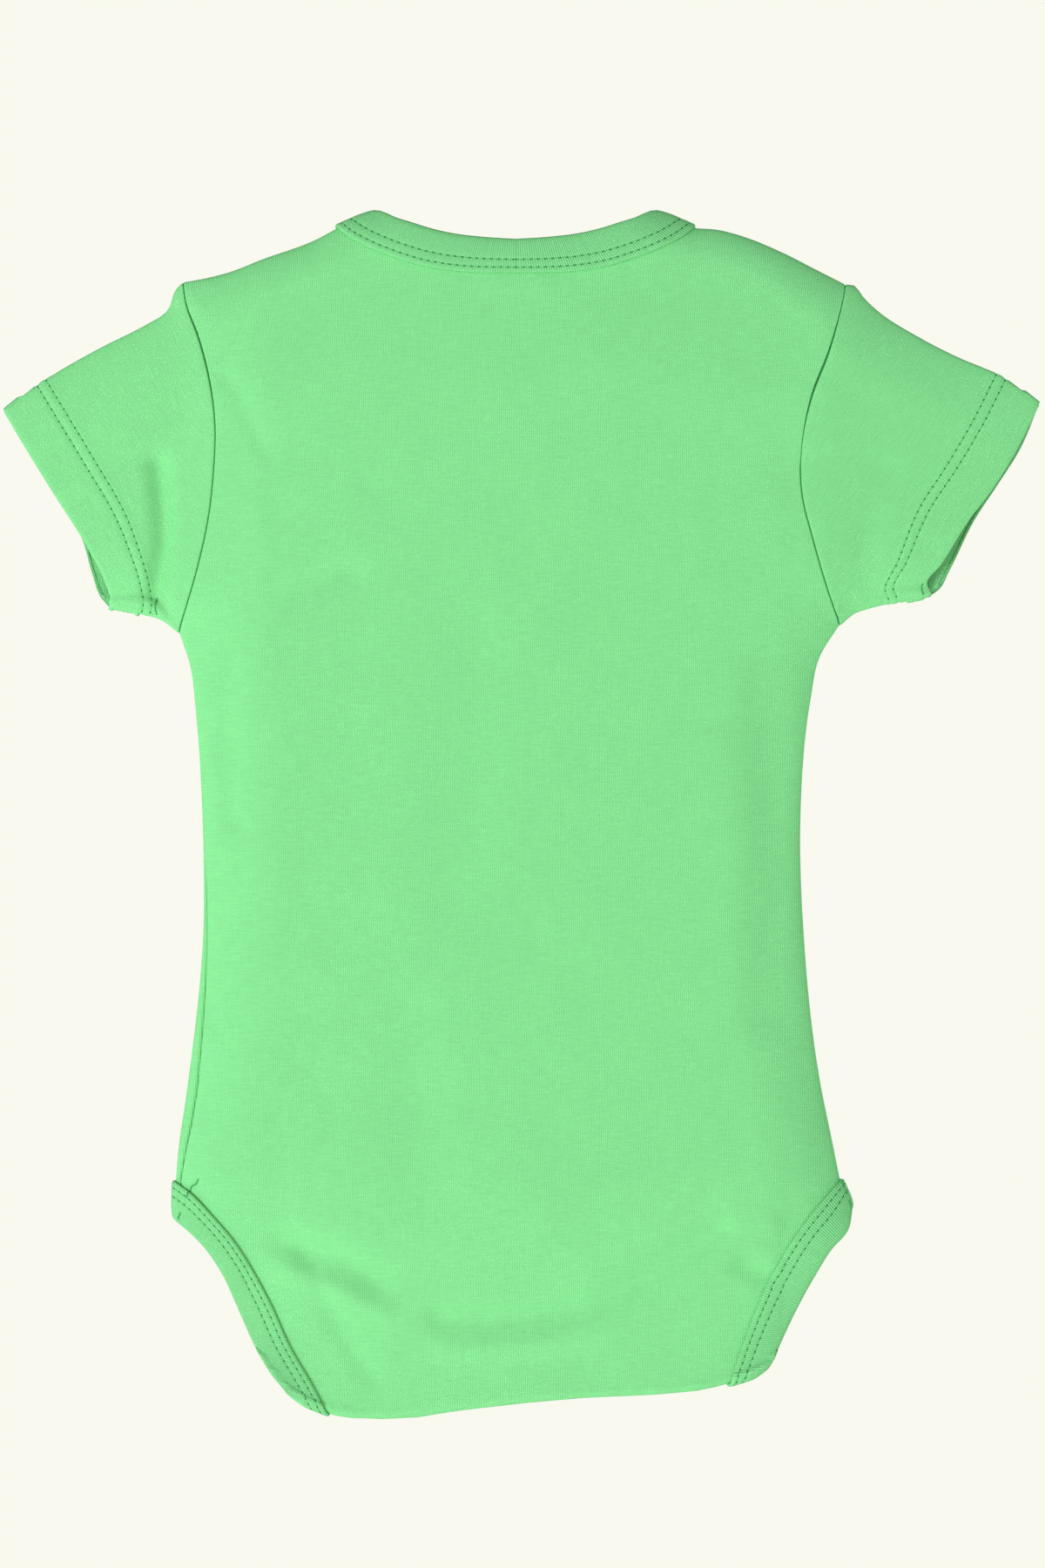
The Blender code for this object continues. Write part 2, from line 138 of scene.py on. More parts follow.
LEG_RIM = {
    LEFT: [(-117.3, -341.1), (-112.8, -344.4), (-106.8, -350.2), (-100.8, -359.1), (-95.7, -370.5),
           (-92.3, -378.5), (-89.0, -385.6), (-85.8, -391.4), (-83.0, -395.6), (-79.6, -399.6)],
    RIGHT: [(115.8, -336.9), (114.0, -344.4), (108.3, -351.0), (102.3, -360.9), (96.3, -372.3),
            (92.4, -380.6), (90.0, -386.0), (88.6, -389.6), (87.0, -392.2), (84.6, -394.6)],
}
FLAP_FREE = {LEFT: [(-62.5, -399), (-58.5, -386), (-51, -366), (-46.5, -342)],
             RIGHT: [(70, -391), (60.5, -379), (51, -362), (46.5, -342)]}
FLAP_RIM = {LEFT: [(-76.5, -394), (-69.5, -378), (-61, -360), (-57, -342)],
            RIGHT: [(81, -388), (72, -373), (61.5, -357), (57, -342)]}
TAB_FREE = {LEFT: [(-117, -328.2), (-99, -331.5), (-78, -338), (-60, -346.5), (-49.5, -355), (-46.5, -362)],
            RIGHT: [(111.8, -327.9), (97, -331), (78, -338), (60, -346.5), (49.5, -355), (46.5, -362)]}
TAB_RIM = {LEFT: [(-117.3, -341.1), (-101, -343.5), (-82.5, -348.8), (-67, -355.5), (-59, -360),
                  (-57.5, -362)],
           RIGHT: [(115.8, -336.9), (101, -342.5), (82.5, -348.8), (67, -355.5), (59, -360), (57.5, -362)]}
BAND_STITCHES = (0.14, 0.38)

# Crotch fold: its lowest line from side to side, seen from the back
FOLD_X = [-92, -88, -84, -79, -72.3, -66, -62, -56, -45.6, -33.6, -20.7, 2.4, 24, 47, 62.7, 70, 76, 82, 86.5,
          90, 92]
FOLD_Z = [-385, -389.5, -394.8, -400.4, -404.8, -407.4, -409.0, -409.8, -410.1, -409.5, -407.4, -404.7,
          -402.8, -401.8, -400.4, -398.8, -397.0, -395.2, -393.2, -389, -385]
FOLD_RADIUS = 3.0
FLAP_END = -342.0
TAB_END = -362.0

# Depth of the outer faces from the middle plane
EDGE_RADIUS = 0.9
BODY_DEPTH = 11.0
SLEEVE_DEPTH = 5.6
TAB_DEPTH = 5.6
FLAP_DEPTH = 10.7
CHEST_HALF = 95
CHEST_CROWN = 1.2
SHOULDER_SHARE = 0.62
RIGHT_SLEEVE_LEAN = (3.4, -2.8)

# Where those depths go over into each other: spans of x or z
SHOULDER_Z = (-60, 2)
SLEEVE_Z = (-175, -142)
SLEEVE_X = (84, 120)
LEAN_X = (106, 176)
TAB_Z = (-343, -295)
SEAT_TOP = -325
FLAP_TOP = -368

# How far in from a fold the cloth reaches its full depth, on the body and on a sleeve
TOP_REACH = (13, 24)
SIDE_REACH = (28, 24)
DENT_REACH = (0.5, 9)

# Thickness of the cloths, how a cut edge rolls down into its seam, and the length of a stitch
CLOTH = 0.8
RIB = 0.6
SEAM_ROLL = 0.6
SEAM_DEEP = 1.15
STITCH = 2.5

# ---- numbers and lines


def lerp(a, b, t):
    return a + (b - a) * t


def smoothstep(low, high, value):
    t = np.clip((value - low) / (high - low), 0, 1)
    return t * t * (3 - 2 * t)


def even(count):
    return np.linspace(0, 1, count)


def unit(vectors):
    return vectors / np.maximum(np.linalg.norm(vectors, axis=-1, keepdims=True), TINY)


def slope(value, x, z, step):
    """How fast a value changes along x and along z."""
    along_x = value(x + step, z) - value(x - step, z)
    along_z = value(x, z + step) - value(x, z - step)
    return along_x / (2 * step), along_z / (2 * step)


def bell(distance, width):
    """A soft ridge of height 1."""
    return np.exp(-((distance / width) ** 2))


def run_along(line):
    """How far along a line each of its points is."""
    return np.append(0, np.cumsum(np.linalg.norm(np.diff(line, axis=0), axis=1)))


def read_at(line, run, places):
    """Points of a line at these places, where run is the place of each of its own points."""
    return np.stack([np.interp(places, run, line[:, k]) for k in range(line.shape[1])], axis=-1)


def spline(points, shares):
    """Points at these shares of the length of the smooth curve through the given points."""
    knots = np.asarray(points, float)
    steps = np.linalg.norm(np.diff(knots, axis=0), axis=1)[:, None]
    slopes = np.diff(knots, axis=0) / steps
    inner = (slopes[1:] * steps[:-1] + slopes[:-1] * steps[1:]) / (steps[1:] + steps[:-1])
    tangents = np.vstack([slopes[:1], inner, slopes[-1:]])
    t = even(25)[:-1, None]
    fine = []
    for i, step in enumerate(steps):
        fine.append(knots[i] * (2 * t**3 - 3 * t**2 + 1) + tangents[i] * step * (t**3 - 2 * t**2 + t)
                    + knots[i + 1] * (3 * t**2 - 2 * t**3) + tangents[i + 1] * step * (t**3 - t**2))
    line = np.vstack([*fine, knots[-1:]])
    run = run_along(line)
    return read_at(line, run, np.asarray(shares) * run[-1])


def closed_lines():
    """The lines where the two layers meet, each with the side of it that the cloth is on."""
    lines = []
    for side in (LEFT, RIGHT):
        corner = [(side * NECK_RIM_CORNER[0], NECK_RIM_CORNER[1])]
        top = np.vstack([corner, spline(SHOULDER[side], even(24)), spline(SLEEVE_TOP[side], even(24))[1:]])
        beyond = top[-1] + (top[-1] - top[-3]) * 2
        lines.append((np.vstack([top, beyond]), side))
        under = spline(SLEEVE_UNDER[side], even(14))[::-1]
        bottom = np.vstack([under, spline(SIDE[side], even(34))[1:], [HIP_TIP[side]]])
        beyond = bottom[0] + (bottom[0] - bottom[2]) * 2
        lines.append((np.vstack([beyond, bottom]), side))
    return lines


def nearest(line, inside, x, z):
    """Signed distance to a line, positive on the cloth's side."""
    best = np.full(x.shape, 1e9)
    for a, b in zip(line[:-1], line[1:]):
        (ax, az), (abx, abz) = a, b - a
        px, pz = x - ax, z - az
        t = np.clip((px * abx + pz * abz) / (abx**2 + abz**2), 0, 1)
        off_x, off_z = px - t * abx, pz - t * abz
        far = np.hypot(off_x, off_z)
        signed = np.where((off_x * abz - off_z * abx) * inside < 0, -far, far)
        best = np.where(far < np.abs(best) - TINY, signed, best)
    return best


class Raster:
    """Values on an even grid over the flat garment, read smoothly between its points."""

    STEP = 1.0
    X = np.arange(-190.0, 191.0, STEP)
    Z = np.arange(-424.0, 17.0, STEP)

    def __init__(self, values):
        self.values = values

    def at(self, x, z):
        c = np.clip((x - self.X[0]) / self.STEP, 0, len(self.X) - 1.001)
        r = np.clip((z - self.Z[0]) / self.STEP, 0, len(self.Z) - 1.001)
        i, j = r.astype(int), c.astype(int)
        u, v = r - i, c - j
        low = self.values[i, j] * (1 - v) + self.values[i, j + 1] * v
        high = self.values[i + 1, j] * (1 - v) + self.values[i + 1, j + 1] * v
        return low * (1 - u) + high * u


FLAT_X, FLAT_Z = np.meshgrid(Raster.X, Raster.Z)
FOUND = [nearest(line, inside, FLAT_X, FLAT_Z) for line, inside in closed_lines()]
TOP_DISTANCE = Raster(np.minimum(FOUND[0], FOUND[2]))
SIDE_DISTANCE = Raster(np.minimum(FOUND[1], FOUND[3]))


def edge_distances(x, z):
    """Distances to the shoulders' and sleeves' top folds, and to the underarms and sides."""
    return TOP_DISTANCE.at(x, z), SIDE_DISTANCE.at(x, z)


def edge_distance(x, z):
    return np.minimum(*edge_distances(x, z))


def rise(d, reach):
    t = np.clip(d / reach, 0, 1)
    return (1 - (1 - t) ** 2) ** 0.75


# ---- the two layers


def dent(path, width, depth):
    """A soft valley along a line of points, or with a negative depth a ridge, over the flat garment."""
    return -depth * bell(nearest(spline(path, even(10)), 1, FLAT_X, FLAT_Z), width)


BACK_DENTS = [
    ([(-78, -358), (-62, -365), (-46, -373)], 4.6, -1.4),
    ([(-80, -348), (-66, -353), (-48, -361)], 5.4, 1.9),
    ([(-24, -386), (-4, -385), (16, -383), (36, -377), (54, -366), (74, -353), (88, -343)], 4.0, -1.2),
    ([(-26, -375), (-4, -375), (14, -373), (32, -367), (50, -356), (70, -344)], 4.6, 1.8),
    ([(78, -356), (86, -361)], 3.6, 1.6),
    ([(-72, -352), (-66, -366), (-58, -382), (-50, -395)], 4.0, 0.9),
    ([(-124.6, -131), (-121, -110), (-122.5, -82)], 3.6, 3.0),
    ([(-97, -205), (-99, -165), (-96, -143), (-85, -130), (-57, -118)], 4.2, 1.1),
    ([(-99, -52), (-93, -62), (-87, -76)], 3.4, 0.8),
    ([(84, -150), (87, -205), (86, -268)], 8.0, 1.2),
    ([(60, -170), (78, -171), (94, -168)], 3.4, 0.4),
    ([(-14, -140), (-15, -185), (-20, -228)], 12.0, 0.9),
    ([(-35, -270), (-36, -300), (-30, -332)], 11.0, 0.9),
    ([(120, -120), (122, -100), (128, -84)], 5.0, 0.6),
    ([(-8, -20), (10, -20)], 3.4, -0.6),
]
FRONT_DENTS = [
    ([(-96, -146), (-78, -166), (-50, -176)], 9.0, 0.9),
    ([(94, -146), (76, -168), (52, -182)], 9.0, 0.9),
    ([(-80, -318), (-50, -326), (-16, -322)], 8.0, 1.0),
    ([(84, -312), (58, -324), (30, -328)], 8.0, 0.9),
    ([(-24, -60), (0, -66), (26, -60)], 7.0, 0.5),
    ([(-122, -118), (-124, -100), (-132, -86)], 5.0, 0.7),
    ([(122, -120), (124, -100), (132, -86)], 5.0, 0.7),
]
# Waves in cloth that hangs free: length, direction in radians and height
WAVES = ((31, 0.3, 0.12), (47, 1.1, 0.16), (23, 2.0, 0.07), (64, 2.6, 0.2), (17, 0.9, 0.04))


def slack(turn):
    """Gentle unevenness of cloth that hangs free, under half a millimetre, over the flat garment."""
    total = 0
    for length, a, high in WAVES:
        run = FLAT_X * math.cos(a + turn) + FLAT_Z * math.sin(a + turn)
        total = total + high * np.sin(run * 2 * math.pi / length + 5 * a + turn)
    return total


FOLDS = {
    BACK: Raster(sum(dent(*each) for each in BACK_DENTS) + 0.3 * slack(0.2)),
    FRONT: Raster(sum(dent(*each) for each in FRONT_DENTS) + 0.5 * slack(1.3)),
}


def layer_depth(x, z, layer):
    """Distance of a layer's outer face from the middle plane, above the fold."""
    top, side = edge_distances(x, z)
    d = np.minimum(top, side)
    on_sleeve = smoothstep(*SLEEVE_X, np.abs(x)) * smoothstep(*SLEEVE_Z, z)
    if layer == BACK:
        full = lerp(FOLD_RADIUS, BODY_DEPTH, smoothstep(fold_line(x) + FOLD_RADIUS, SEAT_TOP, z))
    else:
        full = lerp(TAB_DEPTH, BODY_DEPTH, smoothstep(*TAB_Z, z))
    full = full - CHEST_CROWN * (np.clip(x, -CHEST_HALF, CHEST_HALF) / CHEST_HALF) ** 2
    full = full * lerp(1, SHOULDER_SHARE, smoothstep(*SHOULDER_Z, z))
    lean = np.where(x > 0, np.interp(x, LEAN_X, RIGHT_SLEEVE_LEAN), 0)
    full = lerp(full, SLEEVE_DEPTH + lean, on_sleeve)
    near = np.clip(d / EDGE_RADIUS, 0, 1)
    cap = EDGE_RADIUS * np.sqrt(1 - (1 - near) ** 2)
    shape = rise(top, lerp(*TOP_REACH, on_sleeve)) * rise(side, lerp(*SIDE_REACH, on_sleeve))
    depth = cap + (full - EDGE_RADIUS) * shape
    return depth + FOLDS[layer].at(x, z) * smoothstep(*DENT_REACH, d)


def fold_line(x):
    """Height of the crotch fold's lowest line."""
    return np.interp(x, FOLD_X, FOLD_Z)


def flap_depth(x, z):
    centre = fold_line(x) + FOLD_RADIUS
    return lerp(FOLD_RADIUS, FLAP_DEPTH, smoothstep(centre - 4, FLAP_TOP, z) ** 0.8)


def flap_z(x, z):
    """The flat height of a point of the flap that hangs at height z at the front, or the reverse."""
    return 2 * (fold_line(x) + FOLD_RADIUS) - math.pi * FOLD_RADIUS - z


RIM = 0.12
GROW_STEP = 0.3
SLOPE_STEP = 0.05


def point_on(layer, x, z):
    """Point on a layer's outer face, and the direction out of the garment, for flat points."""
    x, z = np.asarray(x, float), np.asarray(z, float)
    centre = fold_line(x) + FOLD_RADIUS
    flat_z = np.maximum(z, centre) if layer == BACK else z
    d = edge_distance(x, flat_z)
    grow = unit(np.stack(slope(edge_distance, x, flat_z, GROW_STEP), -1))
    inset = np.clip(RIM - d, 0, None)[..., None] * grow
    px, pz = x + inset[..., 0], flat_z + inset[..., 1]
    slope_x, slope_z = slope(lambda a, b: layer_depth(a, b, layer), px, pz, SLOPE_STEP)
    out = unit(np.stack([-slope_x, np.full(x.shape, float(layer)), -slope_z], -1))
    rim = np.clip(1 - d / RIM, 0, 1)[..., None]
    out = unit(out * (1 - rim) - np.stack([grow[..., 0], 0 * d, grow[..., 1]], -1) * rim)
    point = np.stack([x, layer * layer_depth(x, flat_z, layer), flat_z], -1)
    if layer == FRONT:
        return point, out
    turn = (centre - z) / FOLD_RADIUS
    arc = np.stack([x, -FOLD_RADIUS * np.cos(turn), centre - FOLD_RADIUS * np.sin(turn)], -1)
    arc_out = np.stack([0 * x, -np.cos(turn), -np.sin(turn)], -1)
    up = flap_z(x, z)
    flap = np.stack([x, flap_depth(x, up), up], -1)
    rising = slope(flap_depth, x, up, SLOPE_STEP)[1]
    flap_out = unit(np.stack([0 * x, np.ones(x.shape), -rising], -1))
    on_arc, on_flap = (turn > 0)[..., None], (turn > math.pi)[..., None]
    point = np.where(on_flap, flap, np.where(on_arc, arc, point))
    return point, np.where(on_flap, flap_out, np.where(on_arc, arc_out, out))


def raised(layer, flat, height):
    """Points at this height above a layer's outer face."""
    point, out = point_on(layer, flat[..., 0], flat[..., 1])
    return point + out * np.asarray(height, float)[..., None]


def placed(layers, flat, height):
    """Points at this height above the outer face of the layer that each of them lies on."""
    on_back = np.asarray(layers == BACK)[..., None]
    return np.where(on_back, raised(BACK, flat, height), raised(FRONT, flat, height))


# ---- materials


def srgb(red, green, blue):
    return tuple(((c / 255 + 0.055) / 1.055) ** 2.4 for c in (red, green, blue)) + (1.0,)


def shade(colour, factor):
    return tuple(c * factor for c in colour[:3]) + (1.0,)


class Nodes:
    """Short names for building the node tree of a material or a world."""

    def __init__(self, owner, shader="Principled BSDF"):
        owner.use_nodes = True
        self.owner = owner
        self.tree = owner.node_tree
        self.shader = self.tree.nodes[shader]

    def put(self, node, sockets):
        """Give each of these inputs its value, or link it to the output that feeds it."""
        for key, value in sockets.items():
            if hasattr(value, "is_output"):
                self.tree.links.new(value, node.inputs[key])
            else:
                node.inputs[key].default_value = value

    def node(self, kind, sockets, **settings):
        made = self.tree.nodes.new("ShaderNode" + kind)
        for key, value in settings.items():
            setattr(made, key, value)
        self.put(made, sockets)
        return made

    def math(self, operation, *values):
        return self.node("Math", dict(enumerate(values)), operation=operation).outputs[0]

    def times(self, a, b):
        return self.math("MULTIPLY", a, b)

    def times_plus(self, a, b, c):
        return self.math("MULTIPLY_ADD", a, b, c)

    def wave(self, value, pitch, shape="COSINE"):
        return self.math(shape, self.times(value, 2 * math.pi / pitch))

    def uv(self):
        """The flat cloth's own coordinates, in millimetres: across the wales, and along them."""
        return self.node("SeparateXYZ", {0: self.node("UVMap", {}, uv_map="knit").outputs[0]}).outputs[:2]

    def noise(self, u, v, scale_u, scale_v, detail=2.0):
        joined = self.node("CombineXYZ", {0: self.times(u, scale_u), 1: self.times(v, scale_v)})
        sockets = {"Scale": 1.0, "Detail": detail, "Vector": joined.outputs[0]}
        return self.node("TexNoise", sockets, noise_dimensions="2D").outputs[0]

    def spots(self, scale, detail):
        """Noise in object coordinates, for pieces that have no knit of their own."""
        place = self.node("TexCoord", {}).outputs["Object"]
        return self.node("TexNoise", {"Scale": scale, "Detail": detail, "Vector": place}).outputs[0]

    def colour(self, value, low, high):
        """A colour between two colours, by a value from 0 to 1."""
        return self.node("Mix", {0: value, 6: low, 7: high}, data_type="RGBA").outputs[2]

    def finish(self, colour, height, bump_mm, roughness, more):
        bump = self.node("Bump", {"Strength": 1.0, "Distance": bump_mm * MM, "Height": height})
        self.put(self.shader, {"Base Color": colour, "Normal": bump.outputs[0], "Roughness": roughness})
        self.put(self.shader, {"Specular IOR Level": 0.25, **more})
        return self.owner


def new_nodes(name):
    return Nodes(bpy.data.materials.new(name))


def knit_material(name, colour, wale, course, bump_mm, contrast):
    """Fine interlock knit: wales with a staggered row of stitches, and uneven yarn, with painted shade
    darkening the colour in the gaps between wales and stitches.
    """
    n = new_nodes(name)
    u, v = n.uv()
    drift = n.times_plus(n.noise(u, v, 0.06, 0.05, 3.0), 1.6, u)
    lift = n.times_plus(n.noise(u, v, 0.05, 0.07, 3.0), 1.6, v)
    knots = n.times(n.wave(drift, 2 * wale), n.wave(lift, course))
    height = n.times_plus(n.wave(drift, wale), 0.26, n.times_plus(knots, 0.2, 0.5))
    streaks = n.noise(u, v, 0.16, 1.9, 3.0)
    fuzz = n.noise(u, v, 2.6, 2.6)
    patches = n.noise(u, v, 0.035, 0.05)
    tone_and_gap_shade = n.times_plus(streaks, 0.30, n.times(fuzz, 0.26))
    tone_and_gap_shade = n.math("ADD", tone_and_gap_shade, n.times_plus(patches, 0.08, 0.06))
    # painted shade: the knit's height darkens its colour in the gaps between wales and stitches; the rest of
    # the tone is uneven yarn
    tone_and_gap_shade = n.times_plus(height, 0.24, tone_and_gap_shade)
    colour_out = n.colour(tone_and_gap_shade, shade(colour, 1 - contrast), shade(colour, 1 + contrast))
    sheen = {"Sheen Weight": 0.12, "Sheen Roughness": 0.5, "Sheen Tint": colour}
    return n.finish(colour_out, n.times_plus(fuzz, 0.35, height), bump_mm, 0.92, sheen)


def rib_material(name, colour, pitch, bump_mm, contrast):
    """Narrow rib knit: its ribs run across the band, with painted shade darkening the colour in the valleys
    between ribs.
    """
    n = new_nodes(name)
    u, v = n.uv()
    height = n.times_plus(n.wave(u, pitch), 0.42, n.times_plus(n.wave(v, 0.75), 0.06, 0.5))
    fuzz = n.noise(u, v, 2.4, 2.4)
    streaks = n.noise(u, v, 0.9, 0.12)
    # painted shade: the rib's height darkens its colour in the valleys; fuzz and streaks are uneven yarn
    tone_and_gap_shade = n.times_plus(height, 0.5, n.times_plus(fuzz, 0.25, n.times(streaks, 0.25)))
    colour_out = n.colour(tone_and_gap_shade, shade(colour, 1 - contrast), shade(colour, 1 + contrast))
    sheen = {"Sheen Weight": 0.12, "Sheen Tint": colour}
    return n.finish(colour_out, n.times_plus(fuzz, 0.3, height), bump_mm, 0.92, sheen)


def weave_material(name, colour, pitch, bump_mm):
    """Plain woven tape or ribbon: a checker of warp and weft, with painted shade darkening the colour where
    the weave is lower.
    """
    n = new_nodes(name)
    u, v = n.uv()
    height = n.times_plus(n.times(n.wave(u, pitch, "SINE"), n.wave(v, pitch, "SINE")), 0.5, 0.5)
    # painted shade: the weave's height darkens its colour where it is lower; the noise is uneven yarn
    tone_and_gap_shade = n.times_plus(height, 0.6, n.times(n.noise(u, v, 0.8, 0.8), 0.4))
    return n.finish(n.colour(tone_and_gap_shade, shade(colour, 0.9), shade(colour, 1.06)), height, bump_mm, 0.8, {})


def thread_material(name, colour, roughness, contrast):
    n = new_nodes(name)
    fibres = n.spots(3000.0, 2.0)
    colour_out = n.colour(fibres, shade(colour, 1 - contrast), shade(colour, 1 + contrast))
    return n.finish(colour_out, fibres, 0.05, roughness, {})


def metal_material(name, colour):
    """Satin silver plating, tumbled: faint scratches and uneven polish."""
    n = new_nodes(name)
    wear = n.spots(900.0, 3.0)
    colour_out = n.colour(wear, shade(colour, 0.92), shade(colour, 1.05))
    return n.finish(colour_out, wear, 0.01, n.times_plus(wear, 0.16, 0.2), {"Metallic": 1.0})


BACKDROP = srgb(249, 249, 239)
GREEN = srgb(132, 224, 150)
RIB_GREEN = srgb(128, 217, 146)
BODY_KNIT = knit_material("body_cloth", GREEN, 0.64, 0.65, 0.2, 0.3)
BAND_RIB = rib_material("rib_binding", RIB_GREEN, 0.8, 0.22, 0.2)
THREAD = thread_material("sewing_thread", srgb(104, 200, 124), 0.7, 0.1)
# Painted shade: the dark green of the needle holes and the armhole seam lines stands in for the shade inside
# them.
HOLE_AND_SEAM_SHADE = thread_material("hole_and_seam_shade", srgb(48, 140, 76), 0.95, 0.1)
TACK_THREAD = thread_material("tack_thread", srgb(74, 178, 108), 0.6, 0.15)
TAPE_WEAVE = weave_material("snap_tape", srgb(232, 235, 226), 0.55, 0.08)
LABEL_SATIN = weave_material("label", srgb(242, 243, 238), 0.3, 0.03)
STUD_METAL = metal_material("press_stud", srgb(214, 215, 212))

# ---- making meshes


def object_from(name, points, faces, materials, uv=None):
    """A smooth-shaded mesh object from points in millimetres. Points that fall together are merged."""
    mesh = bpy.data.meshes.new(name)
    mesh.from_pydata((np.asarray(points).reshape(-1, 3) * MM).tolist(), [], faces)
    if uv is not None:
        flat = np.asarray(uv, float).reshape(-1, 2)
        corner_vertices = np.empty(len(mesh.loops), np.int32)
        mesh.loops.foreach_get("vertex_index", corner_vertices)
        layer = mesh.uv_layers.new(name="knit")
        layer.data.foreach_set("uv", flat[corner_vertices].astype(np.float32).ravel())
    shape = bmesh.new()
    shape.from_mesh(mesh)
    bmesh.ops.remove_doubles(shape, verts=shape.verts, dist=2e-6)
    bmesh.ops.dissolve_degenerate(shape, edges=shape.edges, dist=1e-7)
    shape.to_mesh(mesh)
    shape.free()
    mesh.shade_smooth()
    obj = bpy.data.objects.new(name, mesh)
    bpy.context.scene.collection.objects.link(obj)
    for material in materials:
        mesh.materials.append(material)
    return obj


def cloth_object(name, points, uv, thickness, material, flip=False, offset=-1):
    """A sheet of cloth from a grid of points on its outer face, or with offset 0 in its middle."""
    at = np.arange(points.shape[0] * points.shape[1]).reshape(points.shape[:2])
    faces = np.stack([at[:-1, :-1], at[1:, :-1], at[1:, 1:], at[:-1, 1:]], -1).reshape(-1, 4)
    obj = object_from(name, points, (faces[:, ::-1] if flip else faces).tolist(), [material], uv)
    solidify = obj.modifiers.new("thickness", "SOLIDIFY")
    solidify.thickness = thickness * MM
    solidify.offset = offset
    return obj


def roll(d):
    """How far a cloth's face drops where it turns down into a seam."""
    t = np.clip(1 - np.abs(d) / SEAM_ROLL, 0, 1)
    return SEAM_DEEP * (1 - np.sqrt(1 - t**2))


# ---- body

# Rows of a panel, from the shoulder down, and the columns of a row
ARM_SHARES = np.append([0, 0.0008, 0.0024, 0.005, 0.0085, 0.014, 0.022], np.linspace(0.035, 1, 49))
FLANK_ROW = len(ARM_SHARES)
FLANK_END = FLANK_ROW + 77
LEG_ROW = FLANK_END + 6
FLAP_ROW = FLANK_END + 44
NEAR_EDGE = np.array([0, 0.04, 0.12, 0.25, 0.42, 0.62, 1.0, 1.7, 2.8, 4.4, 6.6])
INNER_COLUMNS = even(98)[1:-1]
BINDING_SHARE = 0.72
LEVEL_Z = -84.0
WRAP = np.array([0.25, 0.6, 1.0])


def row_columns(low, high):
    """x of a row's columns: NEAR_EDGE in mm at both ends, and evenly spread between them."""
    near = NEAR_EDGE * np.minimum(1, (high - low) / 30)
    left = low + near
    right = high - near[::-1]
    return np.concatenate([left, lerp(left[-1], right[0], INNER_COLUMNS), right])


def top_line(layer, x):
    """Height of a panel's top edge: inside the neck band, then along the shoulder."""
    tops = []
    for side in (LEFT, RIGHT):
        inside = lerp(spline(NECK_FREE[layer], even(40)), spline(NECK_RIM[layer], even(40)), 0.5) * (side, 1)
        corner = [(side * NECK_CORNER[0], NECK_CORNER[1])]
        line = np.vstack([inside, corner, spline(SHOULDER[side], even(30))[1:]])
        order = np.argsort(line[:, 0])
        tops.append(np.interp(x, line[order, 0], line[order, 1]))
    return np.where(np.asarray(x) < 0, tops[0], tops[1])


def within_binding(free, rim, count):
    """A panel's edge inside its binding."""
    return lerp(spline(free, even(count)), spline(rim, even(count)), BINDING_SHARE)


def body_rows(layer):
    """For each row of a panel, its flat left and right ends. The front stops at the tab's end."""
    ends = {}
    for side in (LEFT, RIGHT):
        arm = spline(ARMHOLE[side], ARM_SHARES)
        flank = spline(SIDE[side], even(78))[1:]
        if layer == BACK:
            leg = within_binding(LEG_FREE[side], LEG_RIM[side], 36)
            flap = within_binding(FLAP_FREE[side], FLAP_RIM[side], 26)
            flap[:, 1] = flap_z(flap[:, 0], flap[:, 1])
            turn = np.linspace(leg[-1], flap[0], 12)[1:-1]
            lower = [leg[2:], turn, flap]
        else:
            lower = [within_binding(TAB_FREE[side], TAB_RIM[side], 34)[2:]]
        ends[side] = np.vstack([arm, flank, *lower])
    return ends[LEFT], ends[RIGHT]


def body_panel(layer):
    """Flat points of a panel's grid, and which layer each lies on: a panel that wraps past the outline goes
    on along the other layer."""
    left, right = body_rows(layer)
    grid, layers = [], []
    for n, (a, b) in enumerate(zip(left, right)):
        on_flank = FLANK_ROW <= n <= FLANK_END
        other = -layer if on_flank else layer
        shift = {}
        for side, end in ((LEFT, a), (RIGHT, b)):
            shift[side] = np.interp(end[1], SEAM_SHIFT_Z, SEAM_SHIFT[side]) if on_flank else 0.0
        low, high = a[0], b[0]
        if layer == BACK:
            low += shift[LEFT]
        else:
            high -= shift[RIGHT]
        x = row_columns(low, high)
        across = (x - a[0]) / (b[0] - a[0])
        z = lerp(a[1], b[1], across)
        if layer == BACK and n >= FLAP_ROW:
            level = flap_z(x, lerp(flap_z(*a), flap_z(*b), across))
            z = lerp(z, level, smoothstep(FLAP_ROW, len(left) - 1, n))
        share = np.clip((a[1] - left[0][1]) / (LEVEL_Z - left[0][1]), 0, 1)
        base = lerp(left[0][1], right[0][1], (x - left[0][0]) / (right[0][0] - left[0][0]))
        z = z + (1 - share) * (top_line(layer, x) - base)
        on = np.full(len(x), layer)
        if layer == BACK:
            x = np.append(x, b[0] - WRAP * shift[RIGHT])
            z = np.append(z, [b[1]] * 3)
            on = np.append(on, [other] * 3)
        else:
            x = np.append(a[0] + WRAP[::-1] * shift[LEFT], x)
            z = np.append([a[1]] * 3, z)
            on = np.append([other] * 3, on)
        grid.append(np.stack([x, z], -1))
        layers.append(on)
    return np.array(grid), np.array(layers)


def make_body(layer, name):
    flat, layers = body_panel(layer)
    runs = np.array([run_along(row) for row in flat])
    drop = roll(np.minimum(runs, runs[:, -1:] - runs))
    drop[LEG_ROW:] = 0
    fan = flat[..., 0] * (1 - 0.0008 * np.clip(flat[..., 1] + 110, 0, None))
    uv = np.stack([fan, flat[..., 1]], -1)
    if layer == FRONT:
        uv = uv * (-1, 1) + (7.3, 0)
    return cloth_object(name, placed(layers, flat, -drop), uv, CLOTH, BODY_KNIT, flip=layer == FRONT)


# ---- sleeves

